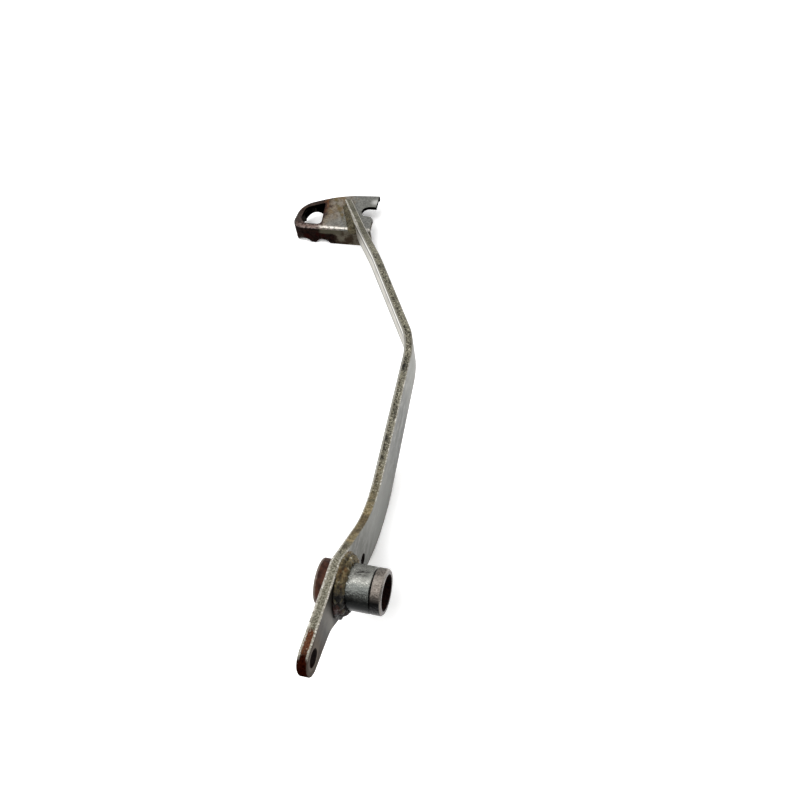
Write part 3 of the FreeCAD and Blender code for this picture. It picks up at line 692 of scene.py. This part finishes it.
dress("toe_pad", pad_finish)
wear_corners("toe_pad")


# Pad weld
# The bead along the outboard side of the arm that holds it to the base of the pad. It starts broad over
# the fold of the pad, gets slimmer towards the arm's tip and is of a dull olive colour.
PAD_LEVEL = -0.0192
PAD_NEAR = 0.249
PAD_FOLD = 0.0024
SEAM_START = Vector((-0.06895, 0.2505, PAD_LEVEL))
SEAM_BACK = 0.0019
SEAM_LENGTH = 0.0275
SEAM_STEPS = 90
SEAM_ROUND_STEPS = 30
LEG_START = 0.0050
CLIMB_START = 0.0042
SLIMMING = 0.0026
HEAD_DROP = 0.0014
HEAD_SHARE = 0.05
HEAD_TAPER = 0.04
HEAD_BLUNT = 0.25
TAIL_TAPER = 0.08
TAIL_BLUNT = 0.15
SEAM_LUMP = 0.0026
SEAM_RELIEF = 0.17
SEAM_RIPPLES = 2200.0
SEAM_LUMP_SHARE = 0.85
SEAM_RIPPLE_SHARE = 0.15
seam_ahead = Vector((-math.sin(BEND_ANGLE), math.cos(BEND_ANGLE), 0.0))
seam_aside = Vector((-math.cos(BEND_ANGLE), -math.sin(BEND_ANGLE), 0.0))
# the section in shares of its leg on the pad and of its climb up the arm
seam_section = ((-0.15, -0.15), (-0.15, 0.60), (-0.15, 1.05), (0.14, 1.00), (0.38, 0.80), (0.62, 0.52),
                (0.86, 0.24), (1.04, 0.02), (1.00, -0.15), (0.40, -0.15), (-0.15, -0.15))


def on_seam(share, turn):
    # point of the bead at a share of its length, with turn from 0 to 1 round its section
    way = -SEAM_BACK + share * (SEAM_LENGTH + SEAM_BACK)
    inset = SEAM_START.y + way * seam_ahead.y - PAD_NEAR
    bend = max(0.0, min(PAD_FOLD, PAD_FOLD - inset))
    drop = PAD_FOLD - math.sqrt(max(0.0, PAD_FOLD ** 2 - bend ** 2))
    drop += HEAD_DROP * max(0.0, 1.0 - share / HEAD_SHARE)
    head = min(1.0, share / HEAD_TAPER + HEAD_BLUNT)
    tail = min(1.0, (1.0 - share) / TAIL_TAPER + TAIL_BLUNT)
    leg = (LEG_START - SLIMMING * share) * head * tail
    climb = (CLIMB_START - SLIMMING * share) * head * tail
    place = turn * (len(seam_section) - 1)
    index = min(int(place), len(seam_section) - 2)
    corner = Vector(seam_section[index]).lerp(Vector(seam_section[index + 1]), place - index)
    aside = leg * corner.x * seam_aside + Vector((0.0, 0.0, climb * corner.y))
    ridge = SEAM_START + way * seam_ahead - Vector((0.0, 0.0, drop))
    lump = SEAM_LUMP_SHARE * swelling(ridge + aside, SEAM_LUMP)
    lump += SEAM_RIPPLE_SHARE * math.sin(way * SEAM_RIPPLES)
    return ridge + aside * (1.0 + SEAM_RELIEF * lump)


shape = bmesh.new()
bmesh.ops.create_grid(shape, x_segments=SEAM_STEPS, y_segments=SEAM_ROUND_STEPS, size=0.5)
for vert in shape.verts:
    vert.co = on_seam(vert.co.x + 0.5, vert.co.y + 0.5)
bmesh.ops.remove_doubles(shape, verts=shape.verts, dist=FACET_GAP)
bmesh.ops.holes_fill(shape, edges=[edge for edge in shape.edges if edge.is_boundary], sides=0)

seam_finish, tree, where, place = new_finish("olive_weld")
cloud = grain(tree, where, 0.006, detail=4.0, rough=0.6)
lumps = grain(tree, where, 0.0018, detail=5.0, rough=0.65)
seam_dark = tone(52, 47, 33)
seam_light = tone(98, 92, 72)
seam_tan = tone(96, 80, 50)
seam_foot = tone(34, 30, 22)
bead = over(tree, rise(tree, lumps, 0.36, 0.64), seam_dark, seam_light)
bead = over(tree, rise(tree, cloud, 0.52, 0.68, top=0.7), bead, seam_tan)
uneven_level = wavy(tree, place["Z"], cloud, 0.003)
bead = over(tree, rise(tree, uneven_level, -0.0205, -0.0235, top=0.9), bead, seam_foot)
rough = blend(tree, rise(tree, lumps, 0.4, 0.6), 0.6, 0.4)
set_finish(tree, bead, rough, metal=0.15, shine=0.25, height=lumps, depth=0.0006)
seam_bead = new_bead("seam_bead", shape, seam_finish)
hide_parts("pad_weld")


# Floor and light
# A plain white floor that keeps the shadow, a wide soft lamp overhead, and a pale room that darkens
# towards the viewer's side.
FLOOR_LEVEL = -0.0322
FLOOR_REACH = 3.0
FLOOR_SHADE = 0.80
FLOOR_SHADE_MIRRORED = 1.0
FLOOR_SHADE_SEEN = 1.34
shape = bmesh.new()
bmesh.ops.create_grid(shape, x_segments=1, y_segments=1, size=FLOOR_REACH,
                      matrix=Matrix.Translation((0, 0, FLOOR_LEVEL)))
floor_mesh = bpy.data.meshes.new("floor")
shape.to_mesh(floor_mesh)
shape.free()
floor = bpy.data.objects.new("floor", floor_mesh)
bpy.context.scene.collection.objects.link(floor)
floor_finish = bpy.data.materials.new("white_floor")
floor_finish.use_nodes = True
tree = floor_finish.node_tree
light_path = put(tree, "LightPath").outputs
mirrored = either(tree, light_path["Is Glossy Ray"], light_path["Is Transmission Ray"])
shade = blend(tree, mirrored, FLOOR_SHADE, FLOOR_SHADE_MIRRORED)
shade = blend(tree, light_path["Is Camera Ray"], shade, FLOOR_SHADE_SEEN)
white = put(tree, "CombineColor", {0: shade, 1: shade, 2: shade}).outputs[0]
shader = tree.nodes["Principled BSDF"]
tree.links.new(white, shader.inputs["Base Color"])
shader.inputs["Roughness"].default_value = 1.0
shader.inputs["Specular IOR Level"].default_value = 0.0
floor_mesh.materials.append(floor_finish)

LAMP_PLACE = Vector((-0.32, -0.42, 1.1))
LAMP_TARGET = Vector((-0.03, 0.12, 0.0))
lamp = bpy.data.lights.new("overhead", "AREA")
lamp.shape = "DISK"
lamp.size = 1.0
lamp.energy = 9.0
lamp_object = bpy.data.objects.new("overhead", lamp)
lamp_object.location = LAMP_PLACE
lamp_object.rotation_euler = (LAMP_PLACE - LAMP_TARGET).to_track_quat("Z", "Y").to_euler()
bpy.context.scene.collection.objects.link(lamp_object)

ROOM_LEAN = 0.35
ROOM_LOW_GLOW = 0.06
ROOM_HIGH_GLOW = 1.10
room = bpy.data.worlds.new("pale_room")
room.use_nodes = True
tree = room.node_tree
direction = put(tree, "SeparateXYZ", {0: put(tree, "TexCoord").outputs["Generated"]}).outputs
height = rise(tree, calc(tree, "MULTIPLY_ADD", direction["Y"], ROOM_LEAN, direction["Z"]), 0.0, 0.75)
glow = blend(tree, height, ROOM_LOW_GLOW, ROOM_HIGH_GLOW)
strength = blend(tree, put(tree, "LightPath").outputs["Is Camera Ray"], glow, 1.0)
background = tree.nodes["Background"]
background.inputs["Color"].default_value = (1.0, 1.0, 1.0, 1.0)
tree.links.new(strength, background.inputs["Strength"])
bpy.context.scene.world = room


# Camera
# Stands above the hub end and looks down along the arm, so that the hub is near and the pad far off.
# Its three directions and its place are fitted to the round tube, its bore and the rod hole.
CAMERA_RIGHT = Vector((0.9634, 0.2436, -0.1115))
CAMERA_UP = Vector((-0.1201, 0.7649, 0.6328))
CAMERA_BACK = Vector((0.2395, -0.5963, 0.7663))
CAMERA_PLACE = (0.0957, -0.1346, 0.3025)
camera = bpy.data.cameras.new("camera")
camera.sensor_width = 36.0
camera.lens = 36.0
camera_object = bpy.data.objects.new("camera", camera)
stance = Matrix((CAMERA_RIGHT, CAMERA_UP, CAMERA_BACK)).transposed().to_4x4()
stance.translation = CAMERA_PLACE
camera_object.matrix_world = stance
bpy.context.scene.collection.objects.link(camera_object)
bpy.context.scene.camera = camera_object
bpy.context.scene.view_settings.view_transform = "Standard"
